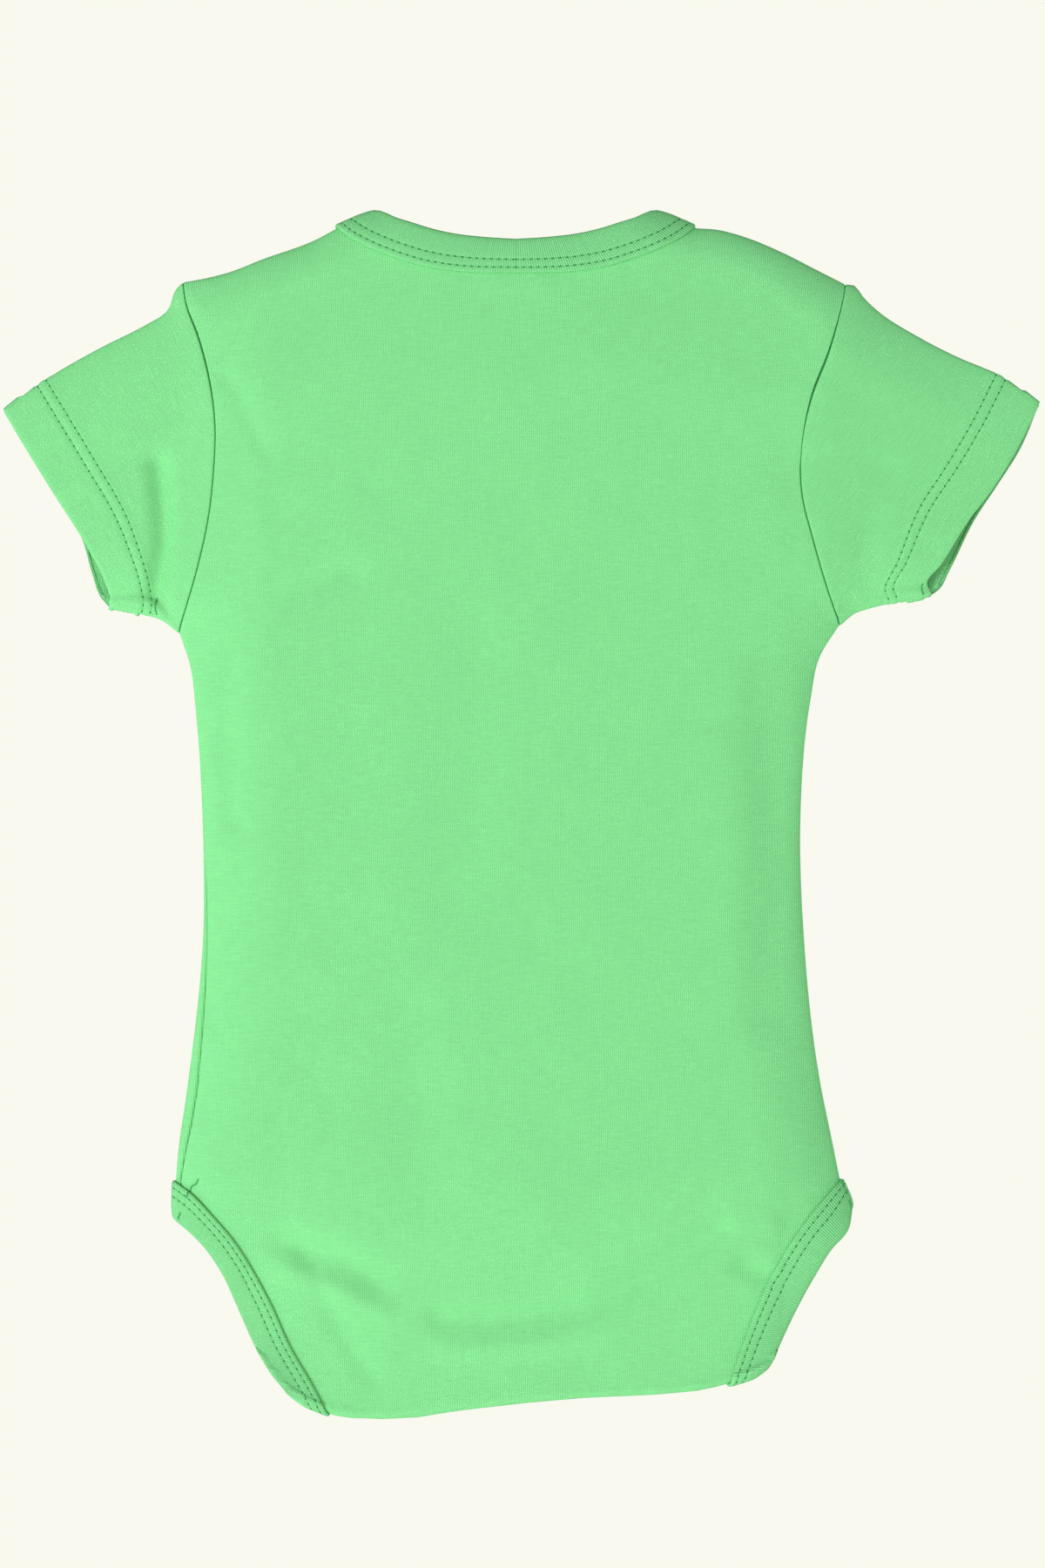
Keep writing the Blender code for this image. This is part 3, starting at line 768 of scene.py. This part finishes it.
# Shares down a sleeve, and distances in mm from its hem and from its armhole seam
RING = np.concatenate([[0, 0.0012, 0.0035, 0.007], np.linspace(0.012, 0.988, 84),
                       [0.993, 0.9965, 0.9988, 1]])
HEM_STEPS = np.array([0, 0.15, 0.4, 0.8, 1.5, 2.8, 4.6, 6.6, 8.6, 10.6, 12.4, 13.6, 14.1, 14.6, 15.1, 15.8,
                      16.6, 17.3, 17.7, 18.2, 18.7, 19.4])
SEAM_STEPS = np.array([0.62, 0.42, 0.25, 0.12, 0.04, 0.0])
HEM_RELIEF = 0.35
HEM_GROOVE = 0.28
TURNED_ROWS = 12
WALE_DEGREES = {LEFT: 34, RIGHT: 146}
SLEEVE_LINES = 61


def sleeve_patch(side, layer, shares):
    """Flat points of one layer of a sleeve, from the hem to the armhole, at these shares down from its top
    fold. It is the surface spanned by its four edges, as (shares, 201 steps, 2)."""
    steps = even(201)[None, :, None]
    q = np.asarray(shares)[:, None, None]
    top = spline(SLEEVE_TOP[side], even(201))[None]
    bottom = spline(SLEEVE_UNDER[side], even(201))[None]
    arm = spline(ARMHOLE[side], shares)[:, None]
    hem = spline(SLEEVE_HEM[side, layer], shares)[:, None]
    ruled = lerp(lerp(top[:, :1], top[:, -1:], steps), lerp(bottom[:, :1], bottom[:, -1:], steps), q)
    return (lerp(top, bottom, q) + lerp(arm, hem, steps) - ruled)[:, ::-1]


def sleeve_at(side, layer, shares, from_hem):
    """Flat points of a sleeve at shares down its height and at distances from its hem."""
    patch = sleeve_patch(side, layer, even(SLEEVE_LINES))
    found = np.array([read_at(line, run_along(line), from_hem) for line in patch])
    place = shares * (SLEEVE_LINES - 1)
    low = place.astype(int)
    item = np.arange(len(shares))
    return lerp(found[low, item], found[low + 1, item], (place - low)[:, None])


def hem_step(share):
    """The hem's stitches come nearer its edge towards the underarm."""
    return lerp(1.0, 0.8, smoothstep(0.5, 1.0, share))


def sleeve_layer(side, layer):
    """One layer's grid from the hem to the armhole: its flat points, and its points on the outer face."""
    patch = sleeve_patch(side, layer, RING)
    runs = [run_along(line) for line in patch]
    total = np.array([run[-1] for run in runs])
    hem = HEM_STEPS[:, None] * hem_step(RING)
    reach = np.vstack([hem, lerp(hem[-1], total - 0.8, even(26)[1:-1, None]), total - SEAM_STEPS[:, None]])
    flat = np.stack([read_at(*each) for each in zip(patch, runs, reach.T)], axis=1)
    scaled = reach / hem_step(RING)
    height = -roll(total - reach)
    for row in HEM_ROWS:
        height = height - HEM_GROOVE * bell(scaled - row, 0.55)
    height = height + HEM_RELIEF * smoothstep(20.0, 18.6, scaled) * smoothstep(-0.1, 1.2, scaled)
    if layer == BACK:
        height = height + underarm_seam(side, flat)
    return flat, raised(layer, flat, height)


def make_sleeve(side, name):
    back, front = sleeve_layer(side, BACK), sleeve_layer(side, FRONT)
    flat, ring = (np.concatenate([b, f[:, -2:0:-1]], axis=1) for b, f in zip(back, front))
    inner = inner_hem(ring)
    wale = math.radians(WALE_DEGREES[side])
    across = flat @ (-math.sin(wale), math.cos(wale))
    along = flat @ (math.cos(wale), math.sin(wale))
    uv = np.stack([across, along], -1)
    uv = np.concatenate([uv[len(inner) - 1::-1] + (0, 31), uv])
    points = np.concatenate([inner, ring])
    points, uv = (np.concatenate([each, each[:, :1]], axis=1) for each in (points, uv))
    return cloth_object(name, points, uv, CLOTH, BODY_KNIT, flip=side == LEFT)


def underarm_seam(side, flat):
    """The sleeve's own seam, which has rolled on to the back: a groove with its allowance above it."""
    seam = spline(UNDERARM_SEAM[side], even(20))[::side]
    d = nearest(seam, -1, flat[..., 0], flat[..., 1])
    allowance, groove, dip = 0.5 * bell(d - 1.9, 1.2), 0.8 * bell(d, 0.75), 0.35 * bell(d + 2.2, 1.8)
    ridge = allowance - groove - dip
    return ridge * smoothstep(0.4, 2.4, SIDE_DISTANCE.at(flat[..., 0], flat[..., 1]))


def inner_hem(ring):
    """The hem's turned-in layer: the rows next to the hem's edge again, inside the tube."""
    outside = ring[:TURNED_ROWS]
    centre = outside.mean(axis=1, keepdims=True)
    down = np.roll(outside, -1, axis=1) - np.roll(outside, 1, axis=1)
    normal = unit(np.cross(down, ring[1:TURNED_ROWS + 1] - outside))
    facing = np.sign(((outside - centre) * normal * (0, 1, 0)).sum(axis=(1, 2), keepdims=True))
    depth = np.minimum(1.75, 0.35 + 2.2 * np.arange(TURNED_ROWS) ** 0.5)[:, None, None]
    inset = np.minimum(depth, np.abs(outside[..., 1:2]) * 0.75)
    return (outside - normal * facing * inset)[::-1][:-1]


# ---- bands

# Section of a folded band: share from the free edge to the rim, and height above the cloth
BAND_PROFILE = np.array([
    (0.30, 0.40), (0.08, 0.42), (0.03, 0.46), (0.006, 0.58), (0.0, 0.72), (0.006, 0.88), (0.03, 1.03),
    (0.06, 1.10), (0.10, 1.10), (0.125, 1.02), (0.14, 0.96), (0.155, 1.02), (0.19, 1.13), (0.26, 1.16),
    (0.33, 1.13), (0.362, 1.03), (0.38, 0.97), (0.398, 1.03), (0.43, 1.13), (0.52, 1.16), (0.62, 1.12),
    (0.74, 1.02), (0.86, 0.86), (0.94, 0.62), (0.98, 0.32), (1.0, -0.1), (0.985, -0.5), (0.94, -0.85),
    (0.84, -1.1), (0.66, -1.25), (0.45, -1.3), (0.25, -1.32), (0.08, -1.34), (0.06, -1.3)])
BAND_OUTER = 0.96
BAND_INNER = -1.33
BAND_WIDTH = 11.5
BAND_STEP = 0.625


def make_band(name, free, rim, layers, closed=False, flip=False):
    """A folded band along its stations. free and rim are their flat points, and layers their layers."""
    run = run_along(placed(layers, lerp(free, rim, 0.4), 0.0))
    if closed:
        run *= round(run[-1] / STITCH) * STITCH / run[-1]
    shares, heights = BAND_PROFILE.T
    height = np.repeat(heights[:, None], len(free), axis=1)
    points = placed(layers, lerp(free, rim, shares[:, None, None]), height)
    across = run_along(BAND_PROFILE * (BAND_WIDTH, 1))
    uv = np.stack(np.broadcast_arrays(run, across[:, None]), -1)
    return cloth_object(name, points, uv, RIB, BAND_RIB, flip=flip, offset=0)


def stations(length):
    return even(max(int(round(length / BAND_STEP)), 8))


def edge_stations(edge, rim, layer):
    """Stations along one edge: flat free points, flat rim points and the layer, in five columns."""
    shares = stations(run_along(spline(edge, even(80)))[-1])
    return np.column_stack([spline(edge, shares), spline(rim, shares), np.full(len(shares), layer)])


def split_stations(line):
    return line[:, :2], line[:, 2:4], line[:, 4]


def neck_stations():
    """Once round the neck, from the middle of the back over the shoulder at +x to the front and on."""
    back, front = (edge_stations(NECK_FREE[layer], NECK_RIM[layer], layer) for layer in (BACK, FRONT))
    half = np.vstack([back, front[::-1][1:]])
    return split_stations(np.vstack([half, (half * (-1, 1, -1, 1, 1))[::-1][1:]]))


def leg_stations(side):
    """Down the back's leg edge, round the crotch fold and up the flap's edge."""
    pair = []
    for leg, flap in ((LEG_FREE, FLAP_FREE), (LEG_RIM, FLAP_RIM)):
        edge = spline(flap[side], even(80))
        edge[:, 1] = flap_z(edge[:, 0], edge[:, 1])
        pair.append(np.vstack([spline(leg[side], even(120)), edge]))
    shares = stations(run_along(lerp(*pair, 0.4))[-1])
    marks = np.append(even(120) * 0.56, 0.62 + 0.38 * even(80))
    free, rim = (read_at(line, marks, shares) for line in pair)
    return free, rim, np.full(len(shares), BACK)


def tab_stations(side):
    return split_stations(edge_stations(TAB_FREE[side], TAB_RIM[side], FRONT))


# ---- stitches

# Slots of a sewn mesh: the thread, and the dark painted shade of the needle holes and the armhole seams
THREAD_SLOT, SHADE_SLOT = 0, 1
SEWN = (THREAD, HOLE_AND_SEAM_SHADE)
THREAD_RADIUS = 0.16
SEAM_SHADE_RADIUS = 0.22
SEAM_SHADE_HEIGHT = -0.42
TACK_RADIUS = 0.24
TACK_PITCH = 0.22
TACK_SWING = 0.16
TACK_HEIGHT = 0.12
ROW_HALF = 45
# One stitch between two holes: share of its length, and height above the cloth
STITCH_ARCH = ((0.2, -0.2), (0.27, 0.0), (0.4, 0.04), (0.6, 0.04), (0.73, 0.0), (0.8, -0.2))
SEARCH = 1.4


class Sewing:
    """Thread and needle holes gathered into one mesh, lying on the surface of the finished cloth."""

    def __init__(self, *cloths):
        self.points, self.faces, self.slots = [], [], []
        graph = bpy.context.evaluated_depsgraph_get()
        self.surfaces = [BVHTree.FromObject(cloth, graph) for cloth in cloths]

    def on_cloth(self, point, up):
        """The point moved along up to the cloth's surface."""
        start = Vector((point + SEARCH * up) * MM)
        hits = [surface.ray_cast(start, Vector(-up), 2.5 * SEARCH * MM) for surface in self.surfaces]
        depths = [hit[3] for hit in hits if hit[0] is not None]
        return point + (SEARCH - min(depths) / MM) * up if depths else point

    def add_face(self, slot, *corners):
        self.faces.append(corners)
        self.slots.append(slot)

    def tube(self, path, radius, slot=THREAD_SLOT, sides=5):
        path = np.asarray(path, float)
        ahead = unit(np.gradient(path, axis=0))
        across = unit(np.cross(ahead, (0.31, 0.93, 0.2)))
        other = np.cross(ahead, across)
        start = len(self.points)
        for p, a, b in zip(path, across, other):
            for n in range(sides):
                turn = 2 * math.pi * n / sides
                self.points.append(p + radius * (math.cos(turn) * a + math.sin(turn) * b))
        last = start + (len(path) - 1) * sides
        for low in range(start, last, sides):
            for n in range(sides):
                m = (n + 1) % sides
                self.add_face(slot, low + n, low + m, low + sides + m, low + sides + n)
        self.add_face(slot, *range(start + sides - 1, start - 1, -1))
        self.add_face(slot, *range(last, last + sides))

    def hole(self, centre, out, ahead, half_length, half_width, sides=10):
        """A needle hole: a small pit, longer along the row, whose rim lies on the cloth; its dark colour is
        painted shade inside the hole.
        """
        across = np.cross(out, ahead)
        turns = [2 * math.pi * n / sides for n in range(sides)]
        rim = [half_length * math.cos(t) * ahead + half_width * math.sin(t) * across for t in turns]
        start = len(self.points)
        self.points += [centre + each - 0.03 * out for each in rim]
        self.points += [centre + 0.8 * each + 0.1 * out for each in rim]
        self.points += [centre + 0.06 * out, centre - 0.3 * out]
        top, bottom = start + 2 * sides, start + 2 * sides + 1
        for n in range(start, start + sides):
            m = start + (n + 1 - start) % sides
            self.add_face(SHADE_SLOT, n, m, sides + m, sides + n)
            self.add_face(SHADE_SLOT, sides + n, sides + m, top)
            self.add_face(SHADE_SLOT, m, n, bottom)

    def row(self, points, out, size=(0.5, 0.3), start=0.5):
        """Stitches along points on the cloth: thread that dives into a needle hole after each of them."""
        run = run_along(points)
        count = int((run[-1] - start) / STITCH + 1e-6)

        def at(distance):
            up = read_at(out, run, distance)
            up /= np.linalg.norm(up)
            return self.on_cloth(read_at(points, run, distance), up), up

        for n in range(count + 1):
            place = start + n * STITCH
            centre, up = at(place)
            ahead = at(min(place + 0.4, run[-1]))[0] - at(max(place - 0.4, 0))[0]
            ahead -= up * (ahead @ up)
            self.hole(centre + 0.02 * up, up, ahead / np.linalg.norm(ahead), *size)
            if n == count:
                continue
            path = []
            for share, lift in STITCH_ARCH:
                point, above = at(place + share * STITCH)
                path.append(point + lift * above)
            self.tube(path, THREAD_RADIUS)

    def row_on(self, layers, flat, height, up=1.0, **settings):
        """A row of stitches over flat points, seen from outside the cloth, or with up -1 from inside it."""
        points = placed(layers, flat, height)
        self.row(points, unit(placed(layers, flat, height + up) - points), **settings)

    def object(self, name, materials=SEWN):
        obj = object_from(name, np.array(self.points), self.faces, materials)
        slots = np.array(self.slots[:len(obj.data.polygons)], np.int32)
        obj.data.polygons.foreach_set("material_index", slots)
        return obj


def band_stitches(name, band, free, rim, layers):
    sewing = Sewing(band)
    for share in BAND_STITCHES:
        line = lerp(free, rim, share)
        sewing.row_on(layers, line, BAND_OUTER + RIB / 2, size=(0.66, 0.34), start=0.3)
        sewing.row_on(layers, line, BAND_INNER - RIB / 2, up=-1.0, size=(0.5, 0.22), start=0.3)
    return sewing.object(name)


def hem_stitches(side, name, sleeve):
    """The twin rows round a sleeve's hem, on both layers."""
    sewing = Sewing(sleeve)
    shares = np.linspace(0.004, 0.996, 90)
    for layer in (BACK, FRONT):
        for row in HEM_ROWS:
            flat = sleeve_at(side, layer, shares, row * hem_step(shares))
            sewing.row_on(layer, flat, 0.08, size=(0.5, 0.4))
    return sewing.object(name)


def armhole_seam_shade(side, name):
    """The pulled-in seam line between a sleeve and the body: a thread tube at the bottom of the groove,
    coloured dark as painted shade of the groove.
    """
    sewing = Sewing()
    line = spline(ARMHOLE[side], even(150))
    for layer in (BACK, FRONT):
        # painted shade: the tube takes the dark needle-hole colour to draw the groove's shadow
        sewing.tube(raised(layer, line, SEAM_SHADE_HEIGHT), SEAM_SHADE_RADIUS, slot=SHADE_SLOT, sides=6)
    return sewing.object(name)


def tack(name, path, cloths):
    """A short bar of stitching wound tightly over a seam's end."""
    sewing = Sewing(*cloths)
    turns = max(int(run_along(spline(path, even(20)))[-1] / TACK_PITCH), 8)
    line = spline(path, even(turns))
    ahead = unit(np.gradient(line, axis=0))
    wound = np.array([TACK_SWING * (-1) ** n for n in range(turns)])
    line = line + wound[:, None] * ahead[:, ::-1] * (-1, 1)
    points, out = point_on(BACK, line[:, 0], line[:, 1])
    path = [sewing.on_cloth(point, up) + TACK_HEIGHT * up for point, up in zip(points, out)]
    sewing.tube(path, TACK_RADIUS)
    return sewing.object(name, [TACK_THREAD])


def straight_rows(name, cloth, heights, on_flap):
    """Straight rows of stitches across the flap or the tab."""
    sewing = Sewing(cloth)
    x = np.linspace(-ROW_HALF, ROW_HALF, 60)
    for z in heights:
        flat = np.stack([x, flap_z(x, z) if on_flap else np.full(60, z)], -1)
        sewing.row_on(BACK if on_flap else FRONT, flat, 0.0, size=(0.5, 0.32))
    return sewing.object(name)


def folded_strip(name, corner, across, way, inward, fold, ply, material):
    """A doubled strip of tape or ribbon, folded at its far end. All lengths are in mm."""
    corner, across, way, inward = (np.array(each, float) for each in (corner, across, way, inward))
    length = np.linalg.norm(way)
    turn = np.linspace(0, math.pi, 9)
    bend = fold / 2
    straight = np.linspace(0, length - bend, 14)
    runs = np.concatenate([straight, length - bend + bend * np.sin(turn)[1:], straight[::-1][1:]])
    depths = np.concatenate([np.zeros(14), bend * (1 - np.cos(turn))[1:], np.full(13, fold)])
    waves = 0.12 * np.sin(runs * 0.5)
    t = even(24)[:, None]
    points = []
    for run, deep, wave in zip(runs, depths, waves):
        points.append(corner + across * t + way / length * run + inward * (deep + wave * t * (1 - t)))
    paid = run_along(np.stack([runs, depths], -1))
    uv = np.stack(np.broadcast_arrays(even(24) * np.linalg.norm(across), paid[:, None]), -1)
    return cloth_object(name, np.array(points), uv, ply, material, offset=0)


# ---- build


def blend_sleeve(obj):
    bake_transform(obj)


def blend_flap(obj):
    """Bakes the piece's placement into its mesh."""
    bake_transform(obj)


# Strips: piece, CAD node, slot, body, material; first corner, width, length, way of the fold; fold, ply
STRIPS = [
    ("flap_tape", "flap_snap_tape", "snap_tape", "flap", TAPE_WEAVE,
     (-44, 9.7, -361), (88, 0, 0), (0, 0, 17), (0, -1, 0), 1.0, 0.4),
    ("front_tape", "front_snap_tape", "snap_tape", "torso", TAPE_WEAVE,
     (-44, 4.6, -361), (88, 0, 0), (0, 0, 17), (0, -1, 0), 1.0, 0.4),
    ("neck_label_ribbon", "neck_label", "label", "torso", LABEL_SATIN,
     (-13.5, -5.9, -14.5), (27, 0, 0), (0, -1.5, -15.83), (0, 1, 0), 0.5, 0.18),
    ("care_label_ribbon", "care_label", "label", "torso", LABEL_SATIN,
     (-70, 10.0, -290), (0, 0, 45), (26, 0, 0), (0, -1, 0), 0.5, 0.18),
]


def small_pieces(back, front, sides):
    """Tacks, tapes, labels and the rows of stitches across the flap and the tab."""
    for name, path in TACKS.items():
        word = name.split("_")[0]
        piece = tack(name, path, (back, front, *sides[word]))
        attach(piece, f"sleeve_{word}" if "sleeve" in name else "torso")
    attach(straight_rows("flap_stitches", back, (FLAP_END - 2.2, TAB_END - 0.4), True), "flap")
    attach(straight_rows("tab_stitches", front, (FLAP_END - 1.4, TAB_END + 1.4), False), "torso")
    for name, node, slot, body, material, *shape in STRIPS:
        strip = folded_strip(name, *shape, material)
        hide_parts(node)
        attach(strip, body)


def build():
    back = make_body(BACK, "back_and_flap_cloth")
    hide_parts("back_panel", "crotch_flap")
    blend_flap(back)
    front = make_body(FRONT, "front_cloth")
    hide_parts("front_panel")
    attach(front, "torso")
    line = neck_stations()
    neck = make_band("neck_band", *line, closed=True, flip=True)
    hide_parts("neck_binding")
    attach(neck, "torso")
    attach(band_stitches("neck_band_stitches", neck, *line), "torso")
    sides = {}
    for side, word in ((LEFT, "left"), (RIGHT, "right")):
        sleeve = make_sleeve(side, f"{word}_sleeve_cloth")
        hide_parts(f"{word}_sleeve_head", f"{word}_sleeve")
        blend_sleeve(sleeve)
        blend_sleeve(hem_stitches(side, f"{word}_sleeve_hem_stitches", sleeve))
        blend_sleeve(armhole_seam_shade(side, f"{word}_armhole_seam_shade"))
        line = leg_stations(side)
        band = make_band(f"{word}_leg_band", *line, flip=side == RIGHT)
        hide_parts(f"back_leg_binding_{word}", f"flap_binding_{word}")
        blend_flap(band)
        blend_flap(band_stitches(f"{word}_leg_band_stitches", band, *line))
        line = tab_stations(side)
        tab = make_band(f"{word}_front_leg_band", *line, flip=side == LEFT)
        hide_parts(f"front_leg_binding_{word}")
        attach(tab, "torso")
        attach(band_stitches(f"{word}_front_leg_band_stitches", tab, *line), "torso")
        sides[word] = (sleeve, band)
    small_pieces(back, front, sides)


# ---- studio

EYE = (0.0024, -1.5, -0.1914)
LENS = 100
SENSOR = 36
FLOOR_Z = -1.1
FLOOR_RADIUS = 3.4
MIDDLE = (0, 0, -0.2)
# Lamps: name, place, width and power
LAMPS = (("key", (-1.5, -1.85, -0.65), 0.9, 26.5), ("rear", (1.3, 2.2, 0.5), 1.4, 18.0))
# The backdrop's fades, by steepness and by x: from, to, and its strength at both
FADES = ((0.22, 0.7, 1.0, 0.3), (0.2, 0.9, 1.0, 0.82))


def make_floor():
    n = new_nodes("floor")
    wear = n.node("TexNoise", {"Scale": 3.0}).outputs[0]
    glow = {"Emission Color": BACKDROP, "Emission Strength": 0.4}
    n.put(n.shader, {"Roughness": wear, "Base Color": shade(BACKDROP, 0.93), **glow})
    place = (0, 0, FLOOR_Z)
    bpy.ops.mesh.primitive_circle_add(vertices=96, radius=FLOOR_RADIUS, fill_type="NGON", location=place)
    floor = bpy.context.object
    floor.name = "floor"
    floor.data.materials.append(n.owner)


def make_world(scene):
    """A pale studio: brightest level with the garment, dimmer overhead and underfoot and towards +x."""
    scene.world = bpy.data.worlds.new("studio")
    n = Nodes(scene.world, "Background")
    place = n.node("TexCoord", {}).outputs["Generated"]
    x, _, z = n.node("SeparateXYZ", {0: place}).outputs
    fades = []
    for value, limits in zip((n.math("ABSOLUTE", z), x), FADES):
        sockets = dict(zip(("From Min", "From Max", "To Min", "To Max"), limits))
        fade = n.node("MapRange", {"Value": value, **sockets}, interpolation_type="SMOOTHSTEP")
        fades.append(fade.outputs[0])
    n.put(n.shader, {"Color": BACKDROP, "Strength": n.times(*fades)})


def make_light(scene, name, place, size, power):
    """A round lamp that faces the middle of the garment."""
    lamp = bpy.data.lights.new(name, "AREA")
    lamp.shape = "DISK"
    lamp.size = size
    lamp.energy = power
    light = bpy.data.objects.new(name, lamp)
    light.location = place
    light.rotation_euler = (Vector(MIDDLE) - Vector(place)).to_track_quat("-Z", "Y").to_euler()
    light.visible_camera = False
    scene.collection.objects.link(light)


def make_stage():
    """The studio, its lamps and the camera."""
    scene = bpy.context.scene
    scene.view_settings.view_transform = "Standard"
    make_world(scene)
    camera = bpy.data.cameras.new("camera")
    camera.lens = LENS
    camera.sensor_width = SENSOR
    eye = bpy.data.objects.new("camera", camera)
    eye.location = EYE
    eye.rotation_euler = (math.pi / 2, 0, 0)
    scene.collection.objects.link(eye)
    scene.camera = eye
    make_floor()
    for lamp in LAMPS:
        make_light(scene, *lamp)


build()
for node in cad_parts.values():
    if not node.hide_render:
        node.data.materials.clear()
        node.data.materials.append(STUD_METAL)
make_stage()
